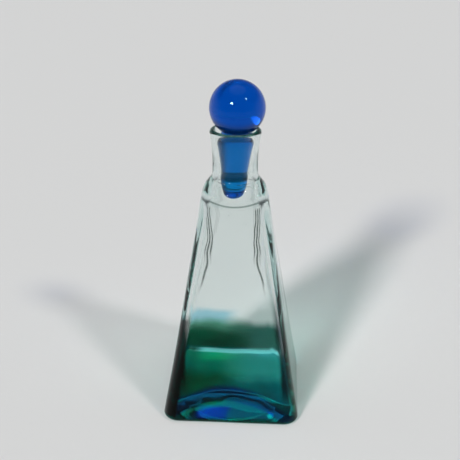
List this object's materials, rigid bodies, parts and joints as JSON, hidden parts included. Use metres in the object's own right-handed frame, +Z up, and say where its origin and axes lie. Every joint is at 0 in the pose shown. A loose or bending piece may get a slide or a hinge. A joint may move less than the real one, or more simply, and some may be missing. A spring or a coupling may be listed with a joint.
{
  "type": "glass decanter",
  "caption": "Hand-made glass decanter: square sides taper to a round neck, with a heavy arched floor inside and a solid ball stopper on a tapered plug.",
  "frame": {"origin": "middle of the square foot, on the surface that the bottle stands on", "axes": "+Z up along the neck; -Y is the front, where the glass of the floor is thickest; +X to the right seen from the front"},
  "size_m": [0.1014, 0.1014, 0.2499],
  "materials": {
    "clear_glass": "polished",
    "blue_glass": "polished"
  },
  "bodies": {
    "bottle": {"bottle": "clear_glass"},
    "stopper": {"ball_stopper": "blue_glass"}
  },
  "joints": [
    {"name": "stopper_lift", "type": "slide", "parent": "bottle", "child": "stopper", "axis": [0, 0, 1], "range_m": [0, 0.06]}
  ]
}
